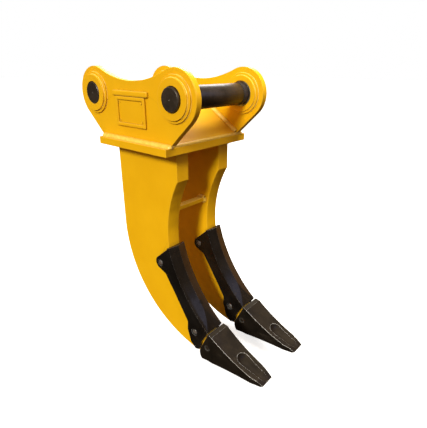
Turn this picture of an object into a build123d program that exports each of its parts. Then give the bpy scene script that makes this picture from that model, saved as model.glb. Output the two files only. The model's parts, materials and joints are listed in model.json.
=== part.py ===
from build123d import *
import math
import os

# Pin-on twin-shank ripper for an excavator arm. Millimetres, +Z up.
# The origin is on the arm pin's axis, half way between the two ears. +X points the way the teeth
# point, +Y is the left-hand side, and the link pin lies behind the arm pin, at negative X.

# Pins and hanger
PIN_SPACING = 438.0
PIN_R = 40.0
LINK_X = -PIN_SPACING
MID_X = -PIN_SPACING / 2
RUNNING_GAP = 0.05
ARM_PIN_PROUD = 217.0
LINK_PIN_PROUD = 209.0
PIN_CHAMFER = 3.0
CENTRE_DRILL_R = 3.5
CENTRE_DRILL_TIP_R = 0.1
GROOVE_R = 39.2
GROOVE_WIDTH = 4.0
GROOVE_CUT_R = 41.0
SEAT_HALF = 129.0

EAR_INNER = 170.0
EAR_OUTER = 194.0
LOBE_R = 97.0
SADDLE_R = 437.0
EAR_FOOT_HALF = 189.0

BOSS_R = 67.0
BOSS_FACE = 208.0
BOSS_INNER_FACE = 157.5
BOSS_LIP = 4.0
LIP_BORE_R = 41.5
DOUBLER_R = 76.0
DOUBLER_T = 7.0
BUSH_R = 47.0
BUSH_INSET = 1.0
SPACER_R = 41.5
SPACER_WIDTH = 26.0
PRESS_GAP = 0.05

# Keeper that locks each pin: a flag on the pin's left end, bolted to a lug on the left ear
FLAG_OFFSET = 80.0
FLAG_T = 14.0
FLAG_GAP = 1.0
FLAG_EYE_R = 52.0
FLAG_TIP_R = 24.0
LUG_R = 23.0
BOLT_R = 7.95
BOLT_BORE_R = 8.0
BOLT_REACH = 178.0
BOLT_HOLE_END = 176.0
BOLT_CLEARANCE = 1.0
BOLT_HEAD_AF = 24.0
BOLT_HEAD_T = 10.0
WASHER_R = 15.0
WASHER_T = 3.0

# Base plate and the two sloping plates above it
BASE_FRONT = -20.0
BASE_REAR = -402.0
BASE_HALF = 223.0
BASE_TOP = -161.0
BASE_T = 28.0
BASE_UNDER = BASE_TOP - BASE_T
SLOPE_APEX_Z = -20.0
SLOPE_FOOT_Z = -150.0
SLOPE_INSET = 7.0
SLOPE_T = 16.0

# Shanks
SHANK_Y = 117.5
SHANK_T = 60.0
SHANK_FRONT = -48.0
SHANK_REAR = -386.0
FRONT_ARC_CENTRE = (352.0, -531.0)
FRONT_ARC_R = 463.0
REAR_ARC_CENTRE = (92.0, -538.0)
REAR_ARC_R = REAR_ARC_CENTRE[0] - SHANK_REAR
NOSE_ROOT_X = 75.0
NOSE_END_X = 225.0
NOSE_END_TOP = -962.0
NOSE_END_UNDER = -993.0
HEEL_X = 30.0

BRACE_TOP = -433.0
BRACE_T = 16.0
BRACE_FRONT = -122.0
BRACE_REAR = -154.0

# Shank guards: a curved front wall with a low crest, and a cheek on each side of the shank
GUARD_HALF = 44.5
GUARD_SLOT_GAP = 0.5
GUARD_ARC_CENTRE = (471.0, -422.0)
GUARD_ARC_R = 588.0
GUARD_TOP_Z = -580.0
GUARD_END_X = 112.0
GUARD_CREST = 12.0
GUARD_CREST_ROOT = 12.0
GUARD_RAMP_TURN = 11.5
GUARD_SHOULDER_STEP = (6.0, 3.0)
GUARD_WAIST = (-121.0, -703.0)
GUARD_BACK_MID = (-66.0, -781.0)
GUARD_BACK_LOW = (3.0, -884.0)
GUARD_HEEL = ((1.0, -922.0), (20.0, -978.0), (46.0, -1000.0), (66.0, -992.0), (76.0, -952.0))
UPPER_PIN = (-150.0, -662.0)
LOWER_PIN = (39.0, -919.0)
GUARD_EAR_R = 27.0
GUARD_PIN_R = 11.0
GUARD_PIN_HALF = 42.5

# Teeth: the side outline, clockwise from the foot of the rear face, and half widths in plan
TOOTH_REAR_FOOT = (76.0, -978.0)
TOOTH_REAR_TOP = (117.0, -889.0)
TOOTH_BROW = (137.0, -892.0)
TOOTH_TOP_MID = (228.0, -943.0)
TOOTH_LIP = (347.0, -986.0)
TOOTH_TIP = (374.0, -998.0)
TOOTH_SOLE_FRONT = (362.0, -1006.0)
TOOTH_SOLE_MID = (205.0, -1011.0)
TOOTH_HEEL = (84.0, -1026.0)
TOOTH_HEEL_MID = (73.0, -1004.0)
TOOTH_REAR_HALF = 48.5
TOOTH_WIDE_HALF = 51.0
TOOTH_CHEEK_X = 322.0
TOOTH_CHEEK_HALF = 42.0
TOOTH_TIP_HALF = 30.0
POCKET_GAP = 0.5
TOOTH_PIN = (111.0, -959.0)
TOOTH_PIN_R = 10.0
TOOTH_PIN_HALF = 46.0
TOOTH_PIN_RECESS = 0.5
SCOOP_R = 38.0
SCOOP_START = (262.0, -970.0)
SCOOP_LIP = (347.0, -991.0)
PIN_EDGE = 1.5

PIN_RECESS_R = 15.0
PIN_RECESS_DEPTH = 2.0
RETAINER_R = 18.0
RETAINER_T = 10.0

# Nameplate on the right ear
PLATE_LEFT = -307.0
PLATE_RIGHT = -143.0
PLATE_TOP = -4.0
PLATE_FOOT = -110.0
PLATE_FRAME_RISE = 8.0
PLATE_FRAME_RIM = 13.0
PLATE_PANEL_RISE = 2.5
RAIL_SIZE = (194.0, 9.0, 20.0)
RAIL_CENTRE = (-224.0, 6.5)
RAIL_CHAMFER = 3.0
RIVET_INSET = 8.0
RIVET_R = 3.5
RIVET_RISE = 2.5

made = {}


def keep(name, shape):
    """File a finished piece under the name of its node."""
    made[name] = shape


def at(x, z):
    """A point of a side outline."""
    return (x, 0, z)


def on_circle(centre, radius, degrees):
    """The point of a circle at an angle from +X, in the XZ plane."""
    turn = math.radians(degrees)
    return (centre[0] + radius * math.cos(turn), centre[1] + radius * math.sin(turn))


def angle_to(centre, point):
    """The angle from +X of a point seen from a centre, in degrees."""
    return math.degrees(math.atan2(point[1] - centre[1], point[0] - centre[0]))


def arc_between(centre, radius, start, end):
    """The arc between two angles, in degrees, about a centre in the XZ plane."""
    points = [on_circle(centre, radius, turn) for turn in (start, (start + end) / 2, end)]
    return ThreePointArc(*[at(*point) for point in points])


def tangent_point(outside, centre, radius, side):
    """Where a line from an outside point touches a circle, on one side of it (1 or -1)."""
    distance = math.dist(outside, centre)
    spread = math.degrees(math.acos(radius / distance))
    return on_circle(centre, radius, angle_to(centre, outside) + side * spread)


def x_on_arc(centre, radius, z):
    """The smaller X at which a circle crosses a height."""
    return centre[0] - math.sqrt(radius**2 - (z - centre[1]) ** 2)


def z_on_arc(centre, radius, x, side):
    """The Z at which a circle crosses an X, above its centre (1) or below it (-1)."""
    return centre[1] + side * math.sqrt(radius**2 - (x - centre[0]) ** 2)


def slab(outline, y_from, y_to):
    """A plate with a side outline, between two distances along Y."""
    return extrude(Pos(0, y_from, 0) * make_face(outline), amount=y_to - y_from, dir=(0, 1, 0))


def straight(*points):
    """Straight edges through points of a side outline."""
    return Polyline(*[at(*point) for point in points])


def rod(x, z, y_from, y_to, radius):
    """A round bar along Y."""
    bar = Rot(90, 0, 0) * Cylinder(radius, abs(y_to - y_from))
    return Pos(x, (y_from + y_to) / 2, z) * bar


def ring(x, z, y_from, y_to, inner, outer):
    """A round tube along Y."""
    return rod(x, z, y_from, y_to, outer) - rod(x, z, y_from, y_to, inner)


def block(x_from, x_to, y_from, y_to, z_from, z_to):
    """A rectangular block between its limits."""
    centre = Pos((x_from + x_to) / 2, (y_from + y_to) / 2, (z_from + z_to) / 2)
    return centre * Box(x_to - x_from, y_to - y_from, z_to - z_from)


def mirrored(shape):
    """The same piece on the other side of the mid-plane."""
    return mirror(shape, about=Plane.XZ)


def bolt_place(pin_x):
    """Where a pin's keeper bolt is: towards the middle of the ear and below the pin."""
    inward = math.copysign(FLAG_OFFSET, MID_X - pin_x)
    return (pin_x + inward, -FLAG_OFFSET)


def ear_outline():
    """The ear plate: two round lobes, a hollow saddle between them and a straight foot."""
    saddle_centre = (MID_X, math.sqrt((SADDLE_R + LOBE_R) ** 2 - MID_X**2))
    foot_front = (MID_X + EAR_FOOT_HALF, BASE_TOP)
    foot_rear = (MID_X - EAR_FOOT_HALF, BASE_TOP)
    front_touch = tangent_point(foot_front, (0, 0), LOBE_R, 1)
    rear_touch = tangent_point(foot_rear, (LINK_X, 0), LOBE_R, -1)
    front_saddle = angle_to((0, 0), saddle_centre)
    rear_saddle = angle_to((LINK_X, 0), saddle_centre)
    saddle_from = angle_to(saddle_centre, (0, 0))
    saddle_to = angle_to(saddle_centre, (LINK_X, 0))
    outline = arc_between((0, 0), LOBE_R, angle_to((0, 0), front_touch), front_saddle)
    outline += arc_between(saddle_centre, SADDLE_R, saddle_from, saddle_to)
    rear_start = angle_to((LINK_X, 0), rear_touch)
    outline += arc_between((LINK_X, 0), LOBE_R, rear_saddle, rear_start + 360)
    outline += straight(rear_touch, foot_rear, foot_front, front_touch)
    return outline


def make_ears():
    """Two ear plates with bored lobes; the left one also has the keeper bolts' blind holes."""
    right = slab(ear_outline(), -EAR_OUTER, -EAR_INNER)
    for pin_x in (0.0, LINK_X):
        right -= rod(pin_x, 0, -EAR_OUTER, -EAR_INNER, BOSS_R + PRESS_GAP)
    left = mirrored(right)
    for pin_x in (0.0, LINK_X):
        left -= rod(*bolt_place(pin_x), BOLT_HOLE_END, EAR_OUTER, BOLT_BORE_R)
    keep("right_ear", right)
    keep("left_ear", left)


def make_bosses():
    """Each pin hole's boss tube, doubler rings, hardened bush and spacer ring."""
    for pin_name, pin_x in (("arm", 0.0), ("link", LINK_X)):
        boss = ring(pin_x, 0, BOSS_INNER_FACE, BOSS_FACE - BOSS_LIP, BUSH_R, BOSS_R)
        boss += ring(pin_x, 0, BOSS_FACE - BOSS_LIP, BOSS_FACE, LIP_BORE_R, BOSS_R)
        outer = ring(pin_x, 0, EAR_OUTER, EAR_OUTER + DOUBLER_T, BOSS_R + PRESS_GAP, DOUBLER_R)
        inner = ring(pin_x, 0, EAR_INNER - DOUBLER_T, EAR_INNER, BOSS_R + PRESS_GAP, DOUBLER_R)
        bush_from = BOSS_INNER_FACE + BUSH_INSET
        bush_to = BOSS_FACE - BOSS_LIP - PRESS_GAP
        bush = ring(pin_x, 0, bush_from, bush_to, PIN_R + RUNNING_GAP, BUSH_R - PRESS_GAP)
        spacer_from = BOSS_INNER_FACE - SPACER_WIDTH
        spacer = ring(pin_x, 0, spacer_from, BOSS_INNER_FACE, PIN_R + RUNNING_GAP, SPACER_R)
        for side_name, place in (("left", lambda shape: shape), ("right", mirrored)):
            keep(f"{side_name}_{pin_name}_boss", place(boss))
            keep(f"{side_name}_{pin_name}_outer_doubler", place(outer))
            keep(f"{side_name}_{pin_name}_inner_doubler", place(inner))
            keep(f"{side_name}_{pin_name}_bush", place(bush))
            keep(f"{side_name}_{pin_name}_spacer", place(spacer))


def make_pin(pin_name, pin_x, near_end):
    """A hanger pin with its welded flag, and the bolt, washer and lug that lock it."""
    flag_from = BOSS_FACE + FLAG_GAP
    flag_to = flag_from + FLAG_T
    pin = rod(pin_x, 0, -near_end, flag_to, PIN_R)
    pin = chamfer(pin.edges().group_by(Axis.Y)[0], PIN_CHAMFER)
    for side in (-1, 1):
        groove_from = side * SEAT_HALF
        groove_to = side * (SEAT_HALF + GROOVE_WIDTH)
        pin -= ring(pin_x, 0, min(groove_from, groove_to), max(groove_from, groove_to),
                    GROOVE_R, GROOVE_CUT_R)
    drill = Rot(90, 0, 0) * Cone(CENTRE_DRILL_TIP_R, CENTRE_DRILL_R, CENTRE_DRILL_R)
    pin -= Pos(pin_x, -near_end + CENTRE_DRILL_R / 2, 0) * drill
    keep(f"{pin_name}_pin", pin)

    bolt_x, bolt_z = bolt_place(pin_x)
    arm_length = math.dist((pin_x, 0), (bolt_x, bolt_z))
    spread = math.degrees(math.acos((FLAG_EYE_R - FLAG_TIP_R) / arm_length))
    along = angle_to((pin_x, 0), (bolt_x, bolt_z))
    eye = arc_between((pin_x, 0), FLAG_EYE_R, along + spread, along + 360 - spread)
    tip = arc_between((bolt_x, bolt_z), FLAG_TIP_R, along - spread, along + spread)
    sides = Line(eye @ 1, tip @ 0) + Line(tip @ 1, eye @ 0)
    flag = slab(eye + tip + sides, flag_from, flag_to)
    flag -= rod(pin_x, 0, flag_from, flag_to, PIN_R + PRESS_GAP)
    flag -= rod(bolt_x, bolt_z, flag_from, flag_to, BOLT_BORE_R + BOLT_CLEARANCE)
    keep(f"{pin_name}_pin_flag", flag)

    washer_to = flag_to + WASHER_T
    keep(f"{pin_name}_keeper_washer",
         ring(bolt_x, bolt_z, flag_to, washer_to, BOLT_BORE_R + BOLT_CLEARANCE, WASHER_R))
    head = extrude(RegularPolygon(BOLT_HEAD_AF / 2, 6, major_radius=False), BOLT_HEAD_T)
    bolt = Pos(bolt_x, washer_to, bolt_z) * Rot(-90, 0, 0) * head
    bolt += rod(bolt_x, bolt_z, BOLT_REACH, washer_to, BOLT_R)
    keep(f"{pin_name}_keeper_bolt", bolt)
    keep(f"{pin_name}_keeper_lug",
         ring(bolt_x, bolt_z, EAR_OUTER, BOSS_FACE - FLAG_GAP, BOLT_BORE_R, LUG_R))


def make_base():
    """The base plate and the two plates that slope up from it to a ridge between the ears."""
    keep("base_plate",
         block(BASE_REAR, BASE_FRONT, -BASE_HALF, BASE_HALF, BASE_UNDER, BASE_TOP))
    for name, foot_x, side in (("front", BASE_FRONT - SLOPE_INSET, 1),
                               ("rear", BASE_REAR + SLOPE_INSET, -1)):
        run = abs(foot_x - MID_X)
        drop = SLOPE_T * math.hypot(run, SLOPE_APEX_Z - SLOPE_FOOT_Z) / run
        under_run = run * (SLOPE_APEX_Z - drop - BASE_TOP) / (SLOPE_APEX_Z - SLOPE_FOOT_Z)
        outline = straight((MID_X, SLOPE_APEX_Z), (foot_x, SLOPE_FOOT_Z), (foot_x, BASE_TOP),
                           (MID_X + side * under_run, BASE_TOP), (MID_X, SLOPE_APEX_Z - drop),
                           (MID_X, SLOPE_APEX_Z))
        keep(f"{name}_slope_plate", slab(outline, -EAR_INNER, EAR_INNER))


def shank_outline():
    """The shank: straight at the top, then curved forward to a wedge-shaped nose."""
    kink = (SHANK_FRONT, z_on_arc(FRONT_ARC_CENTRE, FRONT_ARC_R, SHANK_FRONT, 1))
    nose_root = (NOSE_ROOT_X, z_on_arc(FRONT_ARC_CENTRE, FRONT_ARC_R, NOSE_ROOT_X, -1))
    heel = (HEEL_X, z_on_arc(REAR_ARC_CENTRE, REAR_ARC_R, HEEL_X, -1))
    rear = (SHANK_REAR, REAR_ARC_CENTRE[1])
    kink_turn = angle_to(FRONT_ARC_CENTRE, kink)
    root_turn = angle_to(FRONT_ARC_CENTRE, nose_root) + 360
    heel_turn = angle_to(REAR_ARC_CENTRE, heel)
    outline = arc_between(FRONT_ARC_CENTRE, FRONT_ARC_R, kink_turn, root_turn)
    outline += straight(nose_root, (NOSE_END_X, NOSE_END_TOP), (NOSE_END_X, NOSE_END_UNDER), heel)
    outline += arc_between(REAR_ARC_CENTRE, REAR_ARC_R, heel_turn, -180)
    outline += straight(rear, (SHANK_REAR, BASE_UNDER), (SHANK_FRONT, BASE_UNDER), kink)
    return outline


def cross_pins():
    """Name, place, radius and half length of the three cross pins of each shank."""
    return (
        ("guard_upper", UPPER_PIN, GUARD_PIN_R, GUARD_PIN_HALF),
        ("guard_lower", LOWER_PIN, GUARD_PIN_R, GUARD_PIN_HALF),
        ("tooth", TOOTH_PIN, TOOTH_PIN_R, TOOTH_PIN_HALF),
    )


def make_shanks():
    """Two shanks with their cross-pin holes and retainer seats, and the brace between them."""
    shank = slab(shank_outline(), -SHANK_T / 2, SHANK_T / 2)
    for _, place, radius, _ in cross_pins():
        shank -= rod(*place, -SHANK_T / 2, SHANK_T / 2, radius + RUNNING_GAP)
        shank -= rod(*place, -SHANK_T / 2, RETAINER_T - SHANK_T / 2, RETAINER_R)
    right = Pos(0, -SHANK_Y, 0) * shank
    keep("right_shank", right)
    keep("left_shank", mirrored(right))
    inner = SHANK_Y - SHANK_T / 2
    keep("shank_brace",
         block(BRACE_REAR, BRACE_FRONT, -inner, inner, BRACE_TOP - BRACE_T, BRACE_TOP))


def guard_ends():
    """The top and the lower end of a guard's front arc."""
    top = (x_on_arc(GUARD_ARC_CENTRE, GUARD_ARC_R, GUARD_TOP_Z), GUARD_TOP_Z)
    end = (GUARD_END_X, z_on_arc(GUARD_ARC_CENTRE, GUARD_ARC_R, GUARD_END_X, -1))
    return top, end


def guard_outline():
    """The side outline of a shank guard, with a round ear at the top and a heel at the foot."""
    top, end = guard_ends()
    start_turn = angle_to(GUARD_ARC_CENTRE, top) + 360
    end_turn = angle_to(GUARD_ARC_CENTRE, end) + 360
    shoulder = (top[0] - GUARD_SHOULDER_STEP[0], top[1] - GUARD_SHOULDER_STEP[1])
    ear_top = tangent_point(shoulder, UPPER_PIN, GUARD_EAR_R, 1)
    ear_foot = tangent_point(GUARD_WAIST, UPPER_PIN, GUARD_EAR_R, -1)
    ear_from = angle_to(UPPER_PIN, ear_top)
    ear_to = angle_to(UPPER_PIN, ear_foot)
    outline = arc_between(GUARD_ARC_CENTRE, GUARD_ARC_R, start_turn, end_turn)
    outline += straight(top, shoulder, ear_top)
    outline += arc_between(UPPER_PIN, GUARD_EAR_R, ear_from, ear_to % 360)
    outline += straight(ear_foot, GUARD_WAIST)
    outline += ThreePointArc(at(*GUARD_WAIST), at(*GUARD_BACK_MID), at(*GUARD_BACK_LOW))
    outline += straight(GUARD_BACK_LOW, *GUARD_HEEL, end)
    return outline


def guard_crest():
    """The low roof along a guard's front, planed off in a flat ramp at the lower end."""
    top, end = guard_ends()
    centre_x, centre_z = GUARD_ARC_CENTRE
    turn_from = angle_to(GUARD_ARC_CENTRE, top)
    turn_to = angle_to(GUARD_ARC_CENTRE, end)
    root = GUARD_ARC_R + GUARD_CREST_ROOT
    profile = Polyline((GUARD_ARC_R, -GUARD_HALF, 0), (GUARD_ARC_R - GUARD_CREST, 0, 0),
                       (GUARD_ARC_R, GUARD_HALF, 0), (root, GUARD_HALF, 0),
                       (root, -GUARD_HALF, 0), (GUARD_ARC_R, -GUARD_HALF, 0))
    roof = revolve(make_face(profile), Axis.Y, revolution_arc=turn_to % 360 - turn_from % 360)
    roof = Pos(centre_x, 0, centre_z) * Rot(0, -(turn_to % 360), 0) * roof
    crest_point = on_circle(GUARD_ARC_CENTRE, GUARD_ARC_R - GUARD_CREST, turn_to - GUARD_RAMP_TURN)
    beyond = on_circle(GUARD_ARC_CENTRE, GUARD_ARC_R / 2, turn_to)
    ramp = slab(straight(end, crest_point, beyond, end), -GUARD_HALF, GUARD_HALF)
    return roof - ramp


def make_guards():
    """Two shank guards: the outline as a solid, hollowed for the shank, with a crested front."""
    guard = slab(guard_outline(), -GUARD_HALF, GUARD_HALF) + guard_crest()
    slot_half = SHANK_T / 2 + GUARD_SLOT_GAP
    guard -= slab(shank_outline(), -slot_half, slot_half)
    for _, place, radius, _ in cross_pins()[:2]:
        guard -= rod(*place, -GUARD_HALF, GUARD_HALF, radius + RUNNING_GAP)
        for side in (-1, 1):
            guard -= rod(*place, side * (GUARD_HALF - PIN_RECESS_DEPTH), side * GUARD_HALF,
                         PIN_RECESS_R)
    right = Pos(0, -SHANK_Y, 0) * guard
    keep("right_shank_guard", right)
    keep("left_shank_guard", mirrored(right))


def tooth_outline():
    """The side outline of a tooth: a hollow top, a flat lip, a point and a slightly hollow sole."""
    outline = straight(TOOTH_REAR_FOOT, TOOTH_REAR_TOP, TOOTH_BROW)
    outline += ThreePointArc(at(*TOOTH_BROW), at(*TOOTH_TOP_MID), at(*TOOTH_LIP))
    outline += straight(TOOTH_LIP, TOOTH_TIP, TOOTH_SOLE_FRONT)
    outline += ThreePointArc(at(*TOOTH_SOLE_FRONT), at(*TOOTH_SOLE_MID), at(*TOOTH_HEEL))
    outline += ThreePointArc(at(*TOOTH_HEEL), at(*TOOTH_HEEL_MID), at(*TOOTH_REAR_FOOT))
    return outline


def tooth_plan():
    """A tooth seen from above, as an upright prism: widest at the brow, narrowing to the point."""
    low = TOOTH_HEEL[1] - TOOTH_WIDE_HALF
    high = TOOTH_REAR_TOP[1] + TOOTH_WIDE_HALF
    side = ((0, TOOTH_REAR_HALF), (TOOTH_REAR_TOP[0], TOOTH_REAR_HALF),
            (TOOTH_BROW[0], TOOTH_WIDE_HALF), (TOOTH_CHEEK_X, TOOTH_CHEEK_HALF),
            (TOOTH_TIP[0], TOOTH_TIP_HALF))
    near = [(x, -half, low) for x, half in side]
    far = [(x, half, low) for x, half in reversed(side)]
    return extrude(make_face(Polyline(*near, *far, near[0])), amount=high - low, dir=(0, 0, 1))


def tooth_scoop():
    """The round-bottomed trough in a tooth's top, deepest at its rear end."""
    run = SCOOP_LIP[0] - SCOOP_START[0]
    lean = math.degrees(math.atan2(SCOOP_START[1] - SCOOP_LIP[1], run))
    centre_x, centre_z = on_circle(SCOOP_START, SCOOP_R, 90 - lean)
    trough = Cylinder(SCOOP_R, 2 * run, align=(Align.CENTER, Align.CENTER, Align.MIN))
    trough += Sphere(SCOOP_R)
    return Pos(centre_x, 0, centre_z) * Rot(0, 90 + lean, 0) * trough


def make_teeth():
    """Two teeth: a wedge with a scooped top, a pocket for the shank's nose and a pin hole."""
    tooth = slab(tooth_outline(), -TOOTH_WIDE_HALF, TOOTH_WIDE_HALF)
    tooth &= tooth_plan()
    tooth -= tooth_scoop()
    pocket_half = SHANK_T / 2 + POCKET_GAP
    nose_root = (NOSE_ROOT_X, z_on_arc(FRONT_ARC_CENTRE, FRONT_ARC_R, NOSE_ROOT_X, -1))
    heel = (HEEL_X, z_on_arc(REAR_ARC_CENTRE, REAR_ARC_R, HEEL_X, -1))
    pocket = straight((nose_root[0], nose_root[1] + POCKET_GAP),
                      (NOSE_END_X + POCKET_GAP, NOSE_END_TOP + POCKET_GAP),
                      (NOSE_END_X + POCKET_GAP, NOSE_END_UNDER - POCKET_GAP),
                      (heel[0], heel[1] - POCKET_GAP), (nose_root[0], nose_root[1] + POCKET_GAP))
    tooth -= slab(pocket, -pocket_half, pocket_half)
    tooth -= rod(*TOOTH_PIN, -TOOTH_WIDE_HALF, TOOTH_WIDE_HALF, TOOTH_PIN_R + RUNNING_GAP)
    for side in (-1, 1):
        tooth -= rod(*TOOTH_PIN, side * (TOOTH_PIN_HALF + TOOTH_PIN_RECESS),
                     side * TOOTH_WIDE_HALF, TOOTH_PIN_R + PIN_RECESS_DEPTH)
    right = Pos(0, -SHANK_Y, 0) * tooth
    keep("right_tooth", right)
    keep("left_tooth", mirrored(right))


def make_cross_pins():
    """The cross pins that hold guards and teeth on, each with a retainer ring in the shank."""
    for name, place, radius, half in cross_pins():
        pin = rod(*place, -SHANK_Y - half, -SHANK_Y + half, radius)
        pin = chamfer(pin.edges().filter_by(GeomType.CIRCLE), PIN_EDGE)
        seat = -SHANK_Y - SHANK_T / 2
        retainer = ring(*place, seat, seat + RETAINER_T - PRESS_GAP,
                        radius + RUNNING_GAP, RETAINER_R - PRESS_GAP)
        keep(f"right_{name}_pin", pin)
        keep(f"left_{name}_pin", mirrored(pin))
        keep(f"right_{name}_retainer", retainer)
        keep(f"left_{name}_retainer", mirrored(retainer))


def make_nameplate():
    """A blank nameplate on the right ear: a rail above a rimmed tray with a riveted panel."""
    face = -EAR_OUTER
    tray = block(PLATE_LEFT, PLATE_RIGHT, face - PLATE_FRAME_RISE, face, PLATE_FOOT, PLATE_TOP)
    rim = PLATE_FRAME_RIM
    tray -= block(PLATE_LEFT + rim, PLATE_RIGHT - rim, face - PLATE_FRAME_RISE, face,
                  PLATE_FOOT + rim, PLATE_TOP - rim)
    keep("nameplate_frame", tray)
    gap = PRESS_GAP
    keep("nameplate",
         block(PLATE_LEFT + rim + gap, PLATE_RIGHT - rim - gap, face - PLATE_PANEL_RISE, face,
               PLATE_FOOT + rim + gap, PLATE_TOP - rim - gap))
    length, depth, height = RAIL_SIZE
    rail = block(RAIL_CENTRE[0] - length / 2, RAIL_CENTRE[0] + length / 2, face - depth, face,
                 RAIL_CENTRE[1] - height / 2, RAIL_CENTRE[1] + height / 2)
    keep("nameplate_rail", chamfer(rail.edges().group_by(Axis.Y)[0], RAIL_CHAMFER))
    inset = rim + RIVET_INSET
    rivets = []
    for x in (PLATE_LEFT + inset, PLATE_RIGHT - inset):
        for z in (PLATE_FOOT + inset, PLATE_TOP - inset):
            foot = face - PLATE_PANEL_RISE
            rivets.append(rod(x, z, foot - RIVET_RISE, foot, RIVET_R))
    keep("nameplate_rivets", Compound(children=rivets))


make_ears()
make_bosses()
make_pin("arm", 0.0, ARM_PIN_PROUD)
make_pin("link", LINK_X, LINK_PIN_PROUD)
make_base()
make_shanks()
make_guards()
make_teeth()
make_cross_pins()
make_nameplate()

os.makedirs("parts", exist_ok=True)
for node_name, shape in made.items():
    export_step(shape, f"parts/{node_name}.step")
print(len(made), "nodes written")
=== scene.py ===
"""Looks for the twin-shank excavator ripper: camera, light, materials and worked details."""
import json
import math
import bpy
from mathutils import Matrix, Vector, noise


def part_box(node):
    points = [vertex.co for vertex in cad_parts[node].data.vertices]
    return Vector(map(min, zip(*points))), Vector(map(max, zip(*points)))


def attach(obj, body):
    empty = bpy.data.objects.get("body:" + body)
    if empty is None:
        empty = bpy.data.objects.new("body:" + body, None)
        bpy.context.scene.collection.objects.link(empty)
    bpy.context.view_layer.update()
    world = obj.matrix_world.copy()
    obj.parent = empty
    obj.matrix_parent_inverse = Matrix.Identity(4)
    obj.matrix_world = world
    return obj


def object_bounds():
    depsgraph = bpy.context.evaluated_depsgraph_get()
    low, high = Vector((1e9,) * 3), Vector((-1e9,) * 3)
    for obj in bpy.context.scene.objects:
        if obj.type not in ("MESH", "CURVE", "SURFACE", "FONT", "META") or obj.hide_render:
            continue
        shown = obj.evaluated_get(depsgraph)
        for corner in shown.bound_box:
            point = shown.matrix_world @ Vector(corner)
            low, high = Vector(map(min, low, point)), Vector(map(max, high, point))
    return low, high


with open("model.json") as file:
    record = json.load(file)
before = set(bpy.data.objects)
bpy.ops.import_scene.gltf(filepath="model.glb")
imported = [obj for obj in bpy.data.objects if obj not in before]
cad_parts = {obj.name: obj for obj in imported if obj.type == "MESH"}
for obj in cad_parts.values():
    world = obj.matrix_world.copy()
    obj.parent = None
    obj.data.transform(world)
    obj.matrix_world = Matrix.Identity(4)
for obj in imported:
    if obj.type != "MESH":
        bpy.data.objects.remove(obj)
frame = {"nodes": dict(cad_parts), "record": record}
nodes = frame["nodes"]
cad_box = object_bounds()

FRAME_BODY = "ripper_frame"
SLOTS = {part["node"]: part["material_slot"] for part in frame["record"]["subparts"]}
X, Y, Z = Vector((1, 0, 0)), Vector((0, 1, 0)), Vector((0, 0, 1))

# Weld beads: lengths in metres. The ripples fade out towards a bead's two edges.
RIPPLE_PITCH = 0.0046
RIPPLE_HEIGHT = 0.00045
RIPPLE_LEAD = 1.9
RIPPLE_SHARPNESS = 1.6
RIPPLE_FADE = 2.2
STATION_PITCH = RIPPLE_PITCH / 4
BEAD_STEPS = 8
BEAD_BULGE = 0.22
BEAD_WANDER = 0.0014
WANDER_SCALE = 60
BEAD_SINK = 0.0008

# Each bead's two legs: along the plate it starts on, then up the other plate
FOOT_LEGS = (0.015, 0.012)
SLOPE_LEGS = (0.012, 0.011)
FOOT_END_LEGS = (0.009, 0.012)
SLOPE_FOOT_LEGS = (0.0065, 0.0105)
RIDGE_LEGS = (0.007, 0.007)
SHANK_LEGS = (0.009, 0.009)
BRACE_LEGS = (0.011, 0.009)
DOUBLER_LEGS = (0.0018, 0.0018)
BOSS_LEGS = (0.0018, 0.0018)
FLAG_LEGS = (0.004, 0.004)

# Places on the CAD nodes that a node's box does not show: the ends of an ear's foot, the lean of
# its front edge, the foot of the sloping plates, a shank's straight front, where the scoop in a
# tooth ends, and where a tooth's pinned end stops
EAR_FOOT = (-0.400, -0.030)
EAR_LEAN = math.radians(57)
SLOPE_FOOT_Z = -0.150
SHANK_FRONT = -0.048
TOOTH_LIP_X = 0.347
TOOTH_PIN_END_X = 0.123

# How far along a tooth its paint takes to change, and the sections of a bead round a corner
TOOTH_BLEND = 0.004
CORNER_STEPS = 8

# Camera: where the photograph was taken from, and the way it looks
CAMERA_PLACE = Vector((0.9035, -1.0596, 0.1082))
CAMERA_AZIMUTH = math.radians(40.289)
CAMERA_DOWN = math.radians(22.278)
CAMERA_ROLL = math.radians(0.358)
CAMERA_LENS = 31.4
CAMERA_SHIFT = (-0.0015, 0.0049)
CAMERA_REACH = 100

# Light: a sun as the key, softboxes that face one point, and the world around
KEY_AZIMUTH = math.radians(14)
KEY_HEIGHT = math.radians(28)
KEY_SPREAD = math.radians(13)
KEY_STRENGTH = 3.0
KEY_COLOUR = (1.0, 1.0, 0.92)
LIGHT_AIM = Vector((-0.1, 0.0, -0.45))
WHITE = (1.0, 1.0, 1.0)
# Name, place, size, power in watts, colour, and the kind of light that is left out
SOFTBOXES = (
    ("rim", (-2.2, 2.6, 2.4), 2.0, 110, WHITE, {}),
    ("gleam", (-2.2, 2.6, 2.4), 2.6, 60, WHITE, {"diffuse": False}),
    ("top", (0.7, 0.6, 2.1), 1.4, 84, (1.0, 0.97, 0.90), {"glossy": False}),
    ("sheen", (1.42, 0.37, 0.78), 1.1, 12, (0.30, 0.44, 1.0), {"diffuse": False}),
    ("warm", (0.75, 2.6, -0.75), 1.0, 2.6, (1.0, 0.42, 0.06), {"diffuse": False}),
)
SKY_LIGHT = (0.43, 0.335, 0.25)
GROUND_LIGHT = (0.055, 0.038, 0.024)
# Where the ground's light ends and the sky's begins, from 0 straight down to 1 straight up
HORIZON = (0.40, 0.62)

FLOOR_DROP = 0.03
FLOOR_REACH = 30
FLOOR_GLOW = 0.75

# Rays taken by the masks for edges and corners
MASK_SAMPLES = 6

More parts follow.
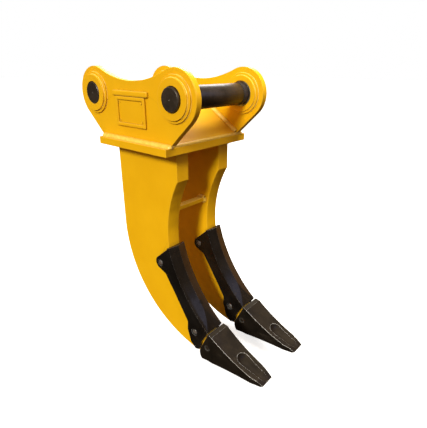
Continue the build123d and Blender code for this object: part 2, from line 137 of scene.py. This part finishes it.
# Colours, as linear red, green and blue
FLOOR_DARK, FLOOR_PALE = (0.80, 0.80, 0.80), (0.83, 0.83, 0.83)
YELLOW_DARK, YELLOW_PALE = (0.82, 0.425, 0.003), (0.88, 0.475, 0.005)
YELLOW_DRIFT = (0.80, 0.395, 0.004)
# Painted highlight for the yellow enamel's edges
YELLOW_EDGE_HIGHLIGHT = (0.98, 0.64, 0.09)
# Painted shade for the yellow enamel's corners, with some dirt
YELLOW_GRIME_AND_SHADE = (0.34, 0.14, 0.006)
# Dust with a painted highlight, for level tops
YELLOW_DUST_AND_HIGHLIGHT = (0.93, 0.64, 0.15)
YELLOW_SPECK = (0.42, 0.20, 0.02)
# Weld beads: the yellow enamel painted paler, a painted highlight
WELD_HIGHLIT_DARK, WELD_HIGHLIT_PALE = (0.90, 0.54, 0.05), (1.0, 0.68, 0.13)
GUARD_DARK, GUARD_PALE = (0.0035, 0.0030, 0.0028), (0.0090, 0.0078, 0.0070)
# Wear and a painted highlight for the guards' edges
GUARD_WEAR_AND_HIGHLIGHT = (0.36, 0.36, 0.37)
GUARD_DUST = (0.035, 0.022, 0.010)
GUARD_SHINE = (1.0, 0.74, 0.46)
TOOTH_DARK, TOOTH_PALE = (0.005, 0.004, 0.003), (0.014, 0.010, 0.007)
# Bloom on a tooth's level tops, partly painted light from above
TOP_BLOOM_AND_LIGHT_DARK, TOP_BLOOM_AND_LIGHT_PALE = (0.007, 0.0052, 0.0030), (0.023, 0.0165, 0.0095)
TOOTH_SCRATCH = (0.085, 0.068, 0.050)
# Painted shade for a tooth's corners and scoop
TOOTH_CORNER_SHADE = (0.002, 0.0015, 0.001)
# Edges scraped bare, with a painted highlight
TOOTH_RUBBED_HIGHLIGHT = (0.98, 0.95, 0.90)
TOOTH_SHINE = (1.0, 0.84, 0.66)
PIN_DARK, PIN_PALE = (0.024, 0.017, 0.011), (0.066, 0.050, 0.036)
PIN_STREAK = (0.10, 0.075, 0.06)
# Painted highlight for the pins' edges
PIN_EDGE_HIGHLIGHT = (0.36, 0.33, 0.31)
BUSH_GREASE, BUSH_BRIGHT = (0.10, 0.075, 0.05), (0.34, 0.32, 0.29)
RUBBER_DARK, RUBBER_DUSTY = (0.012, 0.010, 0.009), (0.050, 0.040, 0.032)
CROSS_PIN_GREY = (0.24, 0.235, 0.23)
RUST = (0.11, 0.050, 0.020)
ZINC_DARK, ZINC_PALE = (0.38, 0.38, 0.36), (0.56, 0.55, 0.52)


# ---------------------------------------------------------------- camera, light and floor

def add_camera():
    """The photograph's viewpoint. The camera's own frame is built from its three axes."""
    sin_az, cos_az = math.sin(CAMERA_AZIMUTH), math.cos(CAMERA_AZIMUTH)
    sin_el, cos_el = math.sin(CAMERA_DOWN), math.cos(CAMERA_DOWN)
    back = Vector((sin_az * cos_el, -cos_az * cos_el, sin_el))
    side = Vector((cos_az, sin_az, 0))
    turn = Matrix((side, back.cross(side), back)).transposed().to_4x4()
    data = bpy.data.cameras.new("camera")
    data.lens = CAMERA_LENS
    data.shift_x, data.shift_y = CAMERA_SHIFT
    data.clip_end = CAMERA_REACH
    camera = bpy.data.objects.new("camera", data)
    roll = Matrix.Rotation(CAMERA_ROLL, 4, "Z")
    camera.matrix_world = Matrix.Translation(CAMERA_PLACE) @ turn @ roll
    bpy.context.scene.collection.objects.link(camera)
    bpy.context.scene.camera = camera


def add_softbox(name, place, size, power, colour, diffuse=True, glossy=True):
    """A square softbox that faces the object; it can be left out of diffuse or glossy light."""
    data = bpy.data.lights.new(name, "AREA")
    data.shape = "SQUARE"
    data.size = size
    data.energy = power
    data.color = colour
    lamp = bpy.data.objects.new(name, data)
    lamp.location = place
    lamp.rotation_euler = (LIGHT_AIM - Vector(place)).to_track_quat("-Z", "Y").to_euler()
    lamp.visible_camera = False
    lamp.visible_diffuse = diffuse
    lamp.visible_glossy = glossy
    bpy.context.scene.collection.objects.link(lamp)


def add_sun():
    """The key light: a low sun from the right-hand side of the object, a little softened."""
    data = bpy.data.lights.new("key", "SUN")
    data.energy = KEY_STRENGTH
    data.angle = KEY_SPREAD
    data.color = KEY_COLOUR
    lamp = bpy.data.objects.new("key", data)
    towards = Vector((math.sin(KEY_AZIMUTH), -math.cos(KEY_AZIMUTH), math.tan(KEY_HEIGHT)))
    lamp.rotation_euler = towards.to_track_quat("Z", "Y").to_euler()
    bpy.context.scene.collection.objects.link(lamp)


def add_world():
    """Pale surroundings: white behind the object; as a light, a soft sky above a dim ground."""
    world = bpy.data.worlds.new("studio")
    bpy.context.scene.world = world
    world.use_nodes = True
    tree = world.node_tree
    tree.nodes.clear()
    output = tree.nodes.new("ShaderNodeOutputWorld")
    mix = tree.nodes.new("ShaderNodeMixShader")
    path = tree.nodes.new("ShaderNodeLightPath")
    lit, seen = (tree.nodes.new("ShaderNodeBackground") for _ in range(2))
    where = tree.nodes.new("ShaderNodeSeparateXYZ")
    height = tree.nodes.new("ShaderNodeValToRGB")
    ground, sky = height.color_ramp.elements
    ground.position, sky.position = HORIZON
    ground.color = (*GROUND_LIGHT, 1)
    sky.color = (*SKY_LIGHT, 1)
    # A direction's height runs from -1 to 1, and the ramp takes 0 to 1
    halve = tree.nodes.new("ShaderNodeMath")
    halve.operation = "MULTIPLY_ADD"
    halve.inputs[1].default_value = 0.5
    halve.inputs[2].default_value = 0.5
    tree.links.new(tree.nodes.new("ShaderNodeTexCoord").outputs["Generated"], where.inputs[0])
    tree.links.new(where.outputs["Z"], halve.inputs[0])
    tree.links.new(halve.outputs[0], height.inputs[0])
    tree.links.new(height.outputs[0], lit.inputs["Color"])
    seen.inputs["Color"].default_value = (*WHITE, 1)
    tree.links.new(path.outputs["Is Camera Ray"], mix.inputs[0])
    tree.links.new(lit.outputs[0], mix.inputs[1])
    tree.links.new(seen.outputs[0], mix.inputs[2])
    tree.links.new(mix.outputs[0], output.inputs[0])


def add_floor():
    """A plain pale floor just under the teeth, which glows a little so that shadows stay faint."""
    low = cad_box[0].z - FLOOR_DROP
    mesh = bpy.data.meshes.new("floor")
    corners = [(x * FLOOR_REACH, y * FLOOR_REACH, low) for x, y in ((-1, -1), (1, -1), (1, 1), (-1, 1))]
    mesh.from_pydata(corners, [], [(0, 1, 2, 3)])
    floor = bpy.data.objects.new("floor", mesh)
    bpy.context.scene.collection.objects.link(floor)
    paint = Shade("studio_floor")
    paint.shader.inputs["Roughness"].default_value = 0.9
    paint.shader.inputs["Emission Color"].default_value = (*WHITE, 1)
    paint.shader.inputs["Emission Strength"].default_value = FLOOR_GLOW
    patches = paint.noise(2.0, 3)
    paint.feed("Base Color", paint.ramp(patches, (0.3, FLOOR_DARK), (0.7, FLOOR_PALE)))
    mesh.materials.append(paint.material)
    floor.visible_diffuse = False
    floor.visible_glossy = False


# ---------------------------------------------------------------- materials

class Shade:
    """One material: a principled shader and short ways to build what feeds it."""

    def __init__(self, name):
        self.material = bpy.data.materials.new(name)
        self.material.use_nodes = True
        self.tree = self.material.node_tree
        self.shader = self.tree.nodes["Principled BSDF"]
        self.place = self.tree.nodes.new("ShaderNodeTexCoord").outputs["Object"]

    def put(self, socket, value):
        """Links a socket to another node's output, or sets it to a number or a colour."""
        if isinstance(value, bpy.types.NodeSocket):
            self.tree.links.new(value, socket)
        elif isinstance(value, tuple):
            socket.default_value = (*value, 1)
        else:
            socket.default_value = value

    def node(self, kind, **inputs):
        """A new node, with its inputs put in by name."""
        made = self.tree.nodes.new(kind)
        for name, value in inputs.items():
            self.put(made.inputs[name], value)
        return made

    def along(self, axis):
        """Object coordinates along one axis."""
        return self.node("ShaderNodeSeparateXYZ", Vector=self.place).outputs[axis]

    def upward(self):
        """How far a face looks up: 1 on a level top, 0 on a wall, less than 0 underneath."""
        facing = self.tree.nodes.new("ShaderNodeNewGeometry").outputs["Normal"]
        return self.node("ShaderNodeSeparateXYZ", Vector=facing).outputs["Z"]

    def stretched(self, scale):
        """Object coordinates, stretched along each axis."""
        mapping = self.node("ShaderNodeMapping", Vector=self.place)
        mapping.inputs["Scale"].default_value = scale
        return mapping.outputs[0]

    def noise(self, scale, detail, roughness=0.55, where=None):
        """Fractal noise, in object coordinates unless others are given."""
        made = self.node("ShaderNodeTexNoise", Vector=where or self.place, Scale=scale,
                         Detail=detail, Roughness=roughness)
        return made.outputs["Fac"]

    def ramp(self, value, low, high):
        """A colour or grey that goes from one stop to another."""
        made = self.node("ShaderNodeValToRGB", Fac=value)
        for stop, (position, colour) in zip(made.color_ramp.elements, (low, high)):
            stop.position = position
            level = colour if isinstance(colour, tuple) else (colour,) * 3
            stop.color = (*level, 1)
        return made.outputs["Color"]

    def blend(self, factor, first, second):
        """Two colours mixed by a factor; a mix node's colours are inputs 6 and 7 and output 2."""
        made = self.tree.nodes.new("ShaderNodeMix")
        made.data_type = "RGBA"
        for index, value in ((0, factor), (6, first), (7, second)):
            self.put(made.inputs[index], value)
        return made.outputs[2]

    def maths(self, operation, first, second):
        """One operation on two numbers, with the result kept between 0 and 1."""
        made = self.tree.nodes.new("ShaderNodeMath")
        made.operation = operation
        made.use_clamp = True
        self.put(made.inputs[0], first)
        self.put(made.inputs[1], second)
        return made.outputs[0]

    def edges(self, radius, start, end):
        """1 on sharp convex and concave edges, 0 on flat faces."""
        rounded = self.node("ShaderNodeBevel", Radius=radius)
        rounded.samples = MASK_SAMPLES
        flat = self.tree.nodes.new("ShaderNodeNewGeometry")
        dot = self.tree.nodes.new("ShaderNodeVectorMath")
        dot.operation = "DOT_PRODUCT"
        self.tree.links.new(rounded.outputs[0], dot.inputs[0])
        self.tree.links.new(flat.outputs["True Normal"], dot.inputs[1])
        return self.ramp(dot.outputs["Value"], (start, 1.0), (end, 0.0))

    def corners(self, reach, start, end):
        """1 in tight corners, 0 in the open."""
        made = self.node("ShaderNodeAmbientOcclusion", Distance=reach)
        made.samples = MASK_SAMPLES
        return self.ramp(made.outputs["AO"], (start, 1.0), (end, 0.0))

    def feed(self, socket, value):
        """Links one of the shader's own inputs."""
        self.tree.links.new(value, self.shader.inputs[socket])

    def bumps(self, *layers):
        """Bump layers, each (height, strength, distance in metres), one on top of the other."""
        below = None
        for height, strength, distance in layers:
            made = self.node("ShaderNodeBump", Height=height, Strength=strength, Distance=distance)
            if below:
                self.tree.links.new(below, made.inputs["Normal"])
            below = made.outputs[0]
        self.feed("Normal", below)


def yellow_paint():
    """Sprayed machine enamel: faint orange peel, cloudy tone, painted highlights on edges, painted
    shade with some dirt in corners, and dust with a painted highlight on level tops.
    """
    paint = Shade("yellow_enamel")
    clouds = paint.noise(7.0, 5)
    tone = paint.ramp(clouds, (0.32, YELLOW_DARK), (0.70, YELLOW_PALE))
    drift = paint.noise(1.6, 2)
    tone = paint.blend(paint.ramp(drift, (0.42, 0.0), (0.66, 0.25)), tone, YELLOW_DRIFT)
    # Edges are painted lighter all along: a painted highlight
    edge = paint.edges(0.003, 0.90, 0.99)
    tone = paint.blend(paint.maths("MULTIPLY", edge, 0.45), tone, YELLOW_EDGE_HIGHLIGHT)
    # Tight corners are painted dark brown, broken up by noise: painted shade, with some dirt
    patchy = paint.ramp(paint.noise(45.0, 5), (0.30, 0.35), (0.65, 1.0))
    grime_and_shade = paint.maths("MULTIPLY", paint.corners(0.022, 0.30, 0.85), patchy)
    tone = paint.blend(paint.maths("MULTIPLY", grime_and_shade, 0.7), tone, YELLOW_GRIME_AND_SHADE)
    # Faces that look up are painted paler: dust, and a painted highlight from above
    level = paint.ramp(paint.upward(), (0.78, 0.0), (0.98, 0.66))
    dust = paint.maths("MULTIPLY", level, paint.ramp(clouds, (0.3, 0.75), (0.7, 1.0)))
    tone = paint.blend(dust, tone, YELLOW_DUST_AND_HIGHLIGHT)
    specks = paint.ramp(paint.noise(260.0, 2), (0.735, 0.0), (0.76, 0.5))
    tone = paint.blend(specks, tone, YELLOW_SPECK)
    paint.feed("Base Color", tone)
    paint.feed("Roughness", paint.ramp(paint.noise(18.0, 4), (0.3, 0.36), (0.7, 0.50)))
    paint.shader.inputs["Specular IOR Level"].default_value = 0.22
    paint.shader.inputs["Coat Weight"].default_value = 0.09
    paint.shader.inputs["Coat Roughness"].default_value = 0.22
    peel = paint.noise(420.0, 2)
    waves = paint.noise(22.0, 2)
    paint.bumps((waves, 0.10, 0.0012), (peel, 0.10, 0.0003))
    return paint.material


def weld_paint():
    """The same enamel over a weld bead, painted paler and whiter as a painted highlight, and bumpier.
    """
    paint = Shade("yellow_enamel_on_weld_highlit")
    clouds = paint.noise(60.0, 4)
    paint.feed("Base Color", paint.ramp(clouds, (0.3, WELD_HIGHLIT_DARK), (0.7, WELD_HIGHLIT_PALE)))
    paint.feed("Roughness", paint.ramp(paint.noise(90.0, 3), (0.3, 0.30), (0.7, 0.46)))
    paint.shader.inputs["Coat Weight"].default_value = 0.3
    paint.shader.inputs["Coat Roughness"].default_value = 0.2
    paint.bumps((paint.noise(500.0, 3), 0.35, 0.0006))
    return paint.material


def guard_paint():
    """Glossy black enamel on a sand casting, with wear and a painted highlight along its creases, and a
    little dusty.
    """
    paint = Shade("black_enamel_on_casting")
    clouds = paint.noise(14.0, 5)
    tone = paint.ramp(clouds, (0.35, GUARD_DARK), (0.70, GUARD_PALE))
    # Edges are painted pale grey in patches: wear, and a painted highlight
    edge = paint.edges(0.0022, 0.90, 0.97)
    wear_and_highlight = paint.maths("MULTIPLY", edge, paint.ramp(paint.noise(30.0, 5), (0.38, 0.25), (0.58, 1.0)))
    tone = paint.blend(paint.maths("MULTIPLY", wear_and_highlight, 0.7), tone, GUARD_WEAR_AND_HIGHLIGHT)
    dust = paint.maths("MULTIPLY", paint.noise(9.0, 6, 0.7), paint.noise(130.0, 3))
    tone = paint.blend(paint.ramp(dust, (0.27, 0.0), (0.42, 0.30)), tone, GUARD_DUST)
    paint.feed("Base Color", tone)
    paint.feed("Roughness", paint.ramp(paint.noise(30.0, 5), (0.3, 0.15), (0.72, 0.30)))
    paint.shader.inputs["Specular IOR Level"].default_value = 0.24
    paint.shader.inputs["Specular Tint"].default_value = (*GUARD_SHINE, 1)
    paint.shader.inputs["Coat Weight"].default_value = 0.06
    paint.shader.inputs["Coat Roughness"].default_value = 0.16
    paint.bumps((paint.noise(38.0, 4), 0.16, 0.0013), (paint.noise(340.0, 4), 0.18, 0.0004))
    return paint.material


def tooth_paint():
    """Black forging: a brown bloom on level tops up to the scoop's lip, partly painted light from
    above, painted shade in the scoop and corners, and edges scraped bare with a painted highlight.
    """
    paint = Shade("black_forged_steel")
    ahead = paint.along("X")
    clouds = paint.noise(16.0, 6, 0.65)
    side = paint.ramp(clouds, (0.35, TOOTH_DARK), (0.70, TOOTH_PALE))
    bloom = paint.ramp(clouds, (0.30, TOP_BLOOM_AND_LIGHT_DARK), (0.72, TOP_BLOOM_AND_LIGHT_PALE))
    # Level tops before the lip are painted a paler brown: partly bloom, partly painted light from
    # above. The scoop's tilted walls and the end past the lip stay dark, which paints the scoop's shade
    level = paint.ramp(paint.upward(), (0.74, 0.0), (0.88, 1.0))
    before_lip = paint.ramp(ahead, (TOOTH_LIP_X - TOOTH_BLEND, 1.0), (TOOTH_LIP_X, 0.15))
    dull = paint.maths("MULTIPLY", level, before_lip)
    tone = paint.blend(dull, side, bloom)
    scratches = paint.noise(60.0, 5, 0.7, paint.stretched((0.16, 1.0, 0.3)))
    tone = paint.blend(paint.ramp(scratches, (0.60, 0.0), (0.70, 0.30)), tone, TOOTH_SCRATCH)
    # Corners and the scoop are painted near black: painted shade
    tone = paint.blend(paint.corners(0.03, 0.5, 0.88), tone, TOOTH_CORNER_SHADE)
    # Edges are painted near white in patches: bare steel, and a painted highlight
    edge = paint.edges(0.0024, 0.91, 0.98)
    rubbed_and_highlit = paint.maths("MULTIPLY", edge, paint.ramp(paint.noise(36.0, 5), (0.32, 0.50), (0.52, 1.0)))
    past_pin = paint.ramp(ahead, (TOOTH_PIN_END_X, 0.15), (TOOTH_PIN_END_X + TOOTH_BLEND, 1.0))
    rubbed_and_highlit = paint.maths("MULTIPLY", rubbed_and_highlit, past_pin)
    tone = paint.blend(rubbed_and_highlit, tone, TOOTH_RUBBED_HIGHLIGHT)
    paint.feed("Base Color", tone)
    paint.feed("Metallic", paint.maths("MULTIPLY", rubbed_and_highlit, 0.15))
    smooth = paint.ramp(paint.noise(26.0, 5), (0.3, 0.30), (0.72, 0.50))
    paint.feed("Roughness", paint.blend(dull, smooth, (0.66, 0.66, 0.66)))
    paint.shader.inputs["Specular IOR Level"].default_value = 0.28
    paint.shader.inputs["Specular Tint"].default_value = (*TOOTH_SHINE, 1)
    paint.bumps((paint.noise(48.0, 5), 0.30, 0.0014), (paint.noise(380.0, 4), 0.30, 0.0004))
    return paint.material


def pin_steel():
    """Blackened, oiled steel with fine turning marks round the pin."""
    steel = Shade("blackened_turned_steel")
    film = steel.noise(20.0, 5, 0.65)
    tone = steel.ramp(film, (0.30, PIN_DARK), (0.72, PIN_PALE))
    streaks = steel.noise(30.0, 4, 0.6, steel.stretched((1.0, 9.0, 1.0)))
    tone = steel.blend(steel.ramp(streaks, (0.50, 0.0), (0.72, 0.4)), tone, PIN_STREAK)
    # Edges are painted lighter grey all round: a painted highlight
    edge = steel.edges(0.0025, 0.80, 0.97)
    tone = steel.blend(steel.maths("MULTIPLY", edge, 0.8), tone, PIN_EDGE_HIGHLIGHT)
    steel.feed("Base Color", tone)
    steel.shader.inputs["Metallic"].default_value = 0.55
    steel.feed("Roughness", steel.ramp(steel.noise(14.0, 4), (0.3, 0.30), (0.7, 0.46)))
    turned = steel.noise(900.0, 2, 0.5, steel.stretched((0.02, 1.0, 0.02)))
    steel.bumps((turned, 0.22, 0.0003), (film, 0.08, 0.0006))
    return steel.material


def bush_steel():
    """Hardened and ground steel with a film of grease."""
    steel = Shade("ground_bush_steel")
    film = steel.noise(40.0, 5)
    steel.feed("Base Color", steel.ramp(film, (0.3, BUSH_GREASE), (0.7, BUSH_BRIGHT)))
    steel.shader.inputs["Metallic"].default_value = 0.9
    steel.feed("Roughness", steel.ramp(film, (0.3, 0.25), (0.7, 0.45)))
    ground = steel.noise(800.0, 2, 0.5, steel.stretched((1.0, 0.04, 1.0)))
    steel.bumps((ground, 0.2, 0.0002))
    return steel.material


def rubber():
    """Matt black rubber with a dusty bloom."""
    skin = Shade("black_rubber_bloom")
    dust = skin.noise(50.0, 6, 0.7)
    skin.feed("Base Color", skin.ramp(dust, (0.35, RUBBER_DARK), (0.75, RUBBER_DUSTY)))
    skin.feed("Roughness", skin.ramp(dust, (0.3, 0.55), (0.7, 0.8)))
    skin.bumps((skin.noise(600.0, 3), 0.3, 0.0003))
    return skin.material


def cross_pin_steel():
    """Dull grey pin ends with a bloom of rust."""
    steel = Shade("dull_rusty_steel")
    rust = steel.ramp(steel.noise(110.0, 6, 0.7), (0.46, 0.0), (0.62, 1.0))
    steel.feed("Base Color", steel.blend(rust, CROSS_PIN_GREY, RUST))
    steel.feed("Metallic", steel.maths("SUBTRACT", 0.85, rust))
    steel.feed("Roughness", steel.ramp(rust, (0.0, 0.38), (1.0, 0.75)))
    steel.bumps((steel.noise(420.0, 4), 0.4, 0.0004))
    return steel.material


def zinc_steel():
    """Zinc-plated fasteners with a faint spangle."""
    steel = Shade("zinc_plated_steel")
    spangle = steel.noise(160.0, 3)
    steel.feed("Base Color", steel.ramp(spangle, (0.3, ZINC_DARK), (0.7, ZINC_PALE)))
    steel.shader.inputs["Metallic"].default_value = 0.9
    steel.feed("Roughness", steel.ramp(spangle, (0.3, 0.28), (0.7, 0.42)))
    steel.bumps((steel.noise(500.0, 3), 0.2, 0.0003))
    return steel.material


MATERIALS = {
    "yellow_paint": yellow_paint(),
    "black_guard_paint": guard_paint(),
    "black_tooth_steel": tooth_paint(),
    "dark_pin_steel": pin_steel(),
    "bush_steel": bush_steel(),
    "black_rubber": rubber(),
    "retainer_rubber": rubber(),
    "cross_pin_steel": cross_pin_steel(),
    "zinc_steel": zinc_steel(),
}
WELD_PAINT = weld_paint()


# ---------------------------------------------------------------- CAD nodes

# Edge rounding in metres, by the first word that a node's name holds. "shank" also takes in the
# guards and the brace, and "ear" the rear slope plate.
ROUNDING = {
    "base_plate": 0.0022, "shank": 0.0024, "ear": 0.0020, "tooth": 0.0007, "boss": 0.0016,
    "doubler": 0.0012, "flag": 0.0020, "slope": 0.0015, "nameplate_frame": 0.0036,
    "nameplate_rail": 0.0030,
}
COMMON_ROUNDING = 0.0008
# Pins, rings, washers and bolts, which all keep the common rounding
ROUND_PARTS = ("_pin", "_retainer", "_bush", "_spacer", "_washer", "_bolt")
ROUNDING_STEPS = 3
SAME_POINT = 0.00001
# Edges sharper than these angles are rounded, or keep a crease in their shading
ROUND_ABOVE = math.radians(32)
TOOTH_ROUND_ABOVE = math.radians(52)
CREASE_ABOVE = math.radians(24)


def rounding_of(name):
    """How far a node's sharp edges are rounded."""
    if name.endswith(ROUND_PARTS):
        return COMMON_ROUNDING
    for word, size in ROUNDING.items():
        if word in name:
            return size
    return COMMON_ROUNDING


def dress_node(name, node):
    """Gives a CAD node its material and soft edges; its own mesh stays as it is."""
    material = MATERIALS[SLOTS[name]]
    if not node.material_slots:
        node.data.materials.append(material)
    for slot in node.material_slots:
        slot.link = "OBJECT"
        slot.material = material
    weld = node.modifiers.new("join_split_corners", "WELD")
    weld.merge_threshold = SAME_POINT
    bevel = node.modifiers.new("soft_edges", "BEVEL")
    bevel.width = rounding_of(name)
    bevel.segments = ROUNDING_STEPS
    bevel.limit_method = "ANGLE"
    bevel.angle_limit = TOOTH_ROUND_ABOVE if name.endswith("_tooth") else ROUND_ABOVE
    bevel.harden_normals = True
    bevel.use_clamp_overlap = True
    if name.endswith(("_tooth", "_guard")):
        crease = node.modifiers.new("crisp_creases", "EDGE_SPLIT")
        crease.split_angle = CREASE_ABOVE


# ---------------------------------------------------------------- weld beads

def bead_section(corner, first, second, legs, out, travel, wander):
    """One section of a bead, from one plate to the other, then back under the plates' faces."""
    start = corner + first * legs[0] * wander
    end = corner + second * legs[1] * wander
    height = BEAD_BULGE * (end - start).length
    points = []
    for step in range(BEAD_STEPS + 1):
        t = step / BEAD_STEPS
        crown = 4 * t * (1 - t)
        phase = travel / RIPPLE_PITCH - RIPPLE_LEAD * crown / math.tau
        ripple = RIPPLE_HEIGHT * (1 - abs(2 * (phase % 1) - 1)) ** RIPPLE_SHARPNESS
        edge = min(1.0, crown * RIPPLE_FADE)
        points.append(start.lerp(end, t) + out * (height * crown + ripple * edge))
    under = -out * BEAD_SINK
    return [start + under] + points + [end + under]


def sweep_beads(paths, vertices, faces):
    """Adds one bead along each path of (corner, first, second, legs, out) stations.

    A closed path joins its last station to its first, and an open one gets two end caps.
    """
    for stations, closed in paths:
        base = len(vertices)
        travel = 0.0
        last = stations[0][0]
        for corner, first, second, legs, out in stations:
            travel += (corner - last).length
            last = corner
            wander = 1 + BEAD_WANDER / max(legs) * noise.noise(corner * WANDER_SCALE)
            vertices += bead_section(corner, first, second, legs, out, travel, wander)
        ring = BEAD_STEPS + 3
        count = len(stations)
        for row in range(count if closed else count - 1):
            here, there = base + row * ring, base + (row + 1) % count * ring
            for step in range(ring):
                after = (step + 1) % ring
                faces.append((here + step, here + after, there + after, there + step))
        if not closed:
            faces.append(tuple(base + step for step in reversed(range(ring))))
            faces.append(tuple(base + (count - 1) * ring + step for step in range(ring)))


def line_path(start, end, first, second, legs, out=None):
    """A straight corner between two plates."""
    count = max(2, round((end - start).length / STATION_PITCH))
    out = out or (first + second).normalized()
    stations = [(start.lerp(end, step / count), first, second, legs, out) for step in range(count + 1)]
    return stations, False


def ring_path(centre, radius, side, legs, inner=False):
    """A corner round a circle about Y; side is the way its face looks along Y.

    The bead runs from the foot up the wall, or with inner set it lies across a flush joint.
    """
    count = round(math.tau * radius / STATION_PITCH)
    stations = []
    for step in range(count):
        turn = math.tau * step / count * side
        away = Vector((math.cos(turn), 0, math.sin(turn)))
        second = -away if inner else Y * side
        out = Y * side if inner else (away + second).normalized()
        stations.append((centre + away * radius, away, second, legs, out))
    return stations, True


def add_beads(name, body, paths):
    """Builds one piece from several beads and puts it on a body."""
    vertices, faces = [], []
    sweep_beads(paths, vertices, faces)
    mesh = bpy.data.meshes.new(name)
    mesh.from_pydata(vertices, [], faces)
    mesh.update()
    mesh.polygons.foreach_set("use_smooth", [len(face) == 4 for face in faces])
    mesh.materials.append(WELD_PAINT)
    piece = bpy.data.objects.new(name, mesh)
    bpy.context.scene.collection.objects.link(piece)
    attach(piece, body)


def corners_of(name):
    """The lowest and highest corner of a CAD node, as vectors."""
    low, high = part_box(name)
    return Vector(low), Vector(high)


def disc_of(name):
    """A round CAD node about Y: its middle, its radius, and its lowest and highest Y."""
    low, high = corners_of(name)
    return (low + high) / 2, (high.x - low.x) / 2, low.y, high.y


def moved_to(centre, y):
    """The same place at another Y."""
    return Vector((centre.x, y, centre.z))


def foot_path(outer, inner, side, height):
    """Along the outer foot of an ear, round its front corner and across its front edge."""
    corner = Vector((EAR_FOOT[1], outer, height))
    lean = Vector((math.cos(EAR_LEAN), 0, math.sin(EAR_LEAN)))
    along, _ = line_path(Vector((EAR_FOOT[0], outer, height)), corner, Y * side, Z, FOOT_LEGS)
    turn = []
    for step in range(1, CORNER_STEPS):
        angle = math.pi / 2 * step / CORNER_STEPS
        first = Vector((math.sin(angle), side * math.cos(angle), 0))
        second = Z.lerp(lean, step / CORNER_STEPS).normalized()
        turn.append((corner, first, second, FOOT_LEGS, (first + Z).normalized()))
    out = (X + Z).normalized()
    across, _ = line_path(corner, moved_to(corner, inner), X, lean, FOOT_END_LEGS, out)
    return along + turn + across, False


def hanger_welds():
    """Ears to base plate outside, and the sloping plates to the ears, the base and each other."""
    base_top = corners_of("base_plate")[1].z
    paths = []
    slopes = (("front_slope_plate", 1), ("rear_slope_plate", -1))
    for side in (-1, 1):
        ear_low, ear_high = corners_of("right_ear" if side < 0 else "left_ear")
        outer = ear_low.y if side < 0 else ear_high.y
        inner = ear_high.y if side < 0 else ear_low.y
        paths.append(foot_path(outer, inner, side, base_top))
        for name, ahead in slopes:
            low, high = corners_of(name)
            apex = Vector((low.x if ahead > 0 else high.x, inner, high.z))
            foot = Vector((high.x if ahead > 0 else low.x, inner, SLOPE_FOOT_Z))
            down = (foot - apex).normalized()
            normal = Vector((-down.z * ahead, 0, down.x * ahead))
            paths.append(line_path(apex, foot, Y * -side, normal, SLOPE_LEGS))
    for name, ahead in slopes:
        low, high = corners_of(name)
        foot_x = high.x if ahead > 0 else low.x
        start, end = Vector((foot_x, low.y, base_top)), Vector((foot_x, high.y, base_top))
        paths.append(line_path(start, end, X * ahead, Z, SLOPE_FOOT_LEGS))
    front, back = (corners_of(name) for name, _ in slopes)
    apex = Vector((front[0].x, 0, front[1].z))
    fall_ahead = (Vector((front[1].x, 0, SLOPE_FOOT_Z)) - apex).normalized()
    fall_astern = Vector((-fall_ahead.x, 0, fall_ahead.z))
    half = Y * back[1].y
    paths.append(line_path(apex - half, apex + half, fall_ahead, fall_astern, RIDGE_LEGS, Z))
    return paths


def shank_welds():
    """Each shank to the underside of the base plate, all round, and to the brace."""
    under = corners_of("base_plate")[0].z
    brace_low, brace_high = corners_of("shank_brace")
    paths = []
    for name, side in (("right_shank", -1), ("left_shank", 1)):
        low, high = corners_of(name)
        for face_y, away in ((low.y, -1), (high.y, 1)):
            start, end = Vector((low.x, face_y, under)), Vector((SHANK_FRONT, face_y, under))
            paths.append(line_path(start, end, Y * away, -Z, SHANK_LEGS))
        for face_x, away in ((low.x, -1), (SHANK_FRONT, 1)):
            start, end = Vector((face_x, low.y, under)), Vector((face_x, high.y, under))
            paths.append(line_path(start, end, X * away, -Z, SHANK_LEGS))
        end_y = brace_low.y if side < 0 else brace_high.y
        inward = Y * -side
        for height, up in ((brace_high.z, 1), (brace_low.z, -1)):
            start, end = Vector((brace_low.x, end_y, height)), Vector((brace_high.x, end_y, height))
            paths.append(line_path(start, end, inward, Z * up, BRACE_LEGS))
        for face_x, away in ((brace_low.x, -1), (brace_high.x, 1)):
            start, end = Vector((face_x, end_y, brace_low.z)), Vector((face_x, end_y, brace_high.z))
            paths.append(line_path(start, end, inward, X * away, BRACE_LEGS))
    return paths


def boss_welds():
    """The bosses to their doublers and the doublers to the ears, on both faces, and the lugs."""
    paths = []
    for side, word in ((-1, "right"), (1, "left")):
        for pin in ("arm", "link"):
            centre, boss_radius, _, _ = disc_of(f"{word}_{pin}_boss")
            for place in ("outer", "inner"):
                _, radius, low, high = disc_of(f"{word}_{pin}_{place}_doubler")
                facing = side if place == "outer" else -side
                root, face = (low, high) if facing > 0 else (high, low)
                paths.append(ring_path(moved_to(centre, root), radius, facing, DOUBLER_LEGS))
                paths.append(ring_path(moved_to(centre, face), boss_radius, facing, BOSS_LEGS))
    for pin in ("arm", "link"):
        centre, radius, low, _ = disc_of(f"{pin}_keeper_lug")
        paths.append(ring_path(moved_to(centre, low), radius, 1, DOUBLER_LEGS))
    return paths


def flag_welds(pin):
    """A hanger pin's end to its flag, a bead round the joint of the two flush faces."""
    centre, radius, _, high = disc_of(f"{pin}_pin")
    return [ring_path(moved_to(centre, high), radius, 1, FLAG_LEGS, inner=True)]


add_camera()
add_world()
add_sun()
for label, place, size, power, colour, left_out in SOFTBOXES:
    add_softbox(label, place, size, power, colour, **left_out)
add_floor()

for node_name, cad_node in nodes.items():
    dress_node(node_name, cad_node)

add_beads("hanger_welds", FRAME_BODY, hanger_welds())
add_beads("shank_welds", FRAME_BODY, shank_welds())
add_beads("boss_welds", FRAME_BODY, boss_welds())
for pin_name in ("arm", "link"):
    add_beads(f"{pin_name}_flag_weld", f"{pin_name}_pin_assembly", flag_welds(pin_name))

bpy.context.scene.view_settings.view_transform = "Standard"
